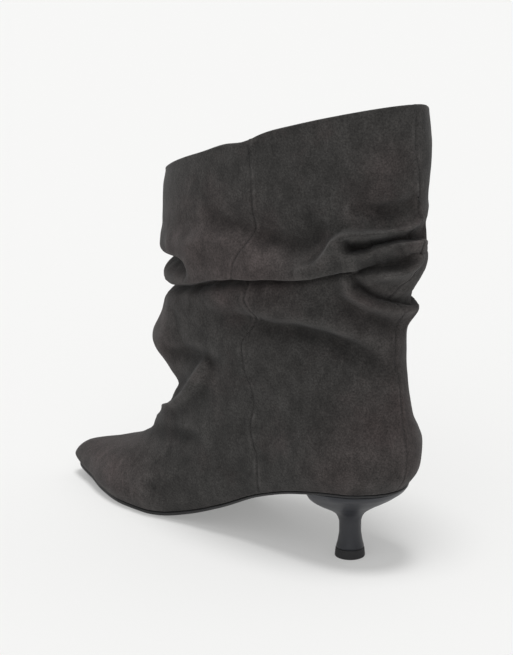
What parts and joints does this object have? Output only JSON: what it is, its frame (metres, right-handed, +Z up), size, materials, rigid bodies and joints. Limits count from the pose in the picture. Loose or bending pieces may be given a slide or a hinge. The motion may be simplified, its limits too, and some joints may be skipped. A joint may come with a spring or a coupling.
{
  "type": "slouch boot",
  "caption": "Suede slouch boot with a pointed toe, a tilted collar, a folded shaft and a low waisted heel.",
  "frame": {"origin": "centre of the heel's top piece on the floor", "axes": "+Z up, toe towards -X, the pictured inner side towards -Y"},
  "size_m": [0.2717, 0.0975, 0.271],
  "materials": {
    "upper": "dark charcoal suede with a soft nap",
    "outsole": "thin dark sole leather, satin",
    "insole": "leather covered board, matt",
    "heel": "dark slate lacquer, glossy",
    "top_piece": "black rubber, slightly rough"
  },
  "bodies": {
    "root": {"upper": "upper", "outsole": "outsole", "insole": "insole", "heel": "heel", "top_piece": "top_piece"}
  },
  "joints": []
}
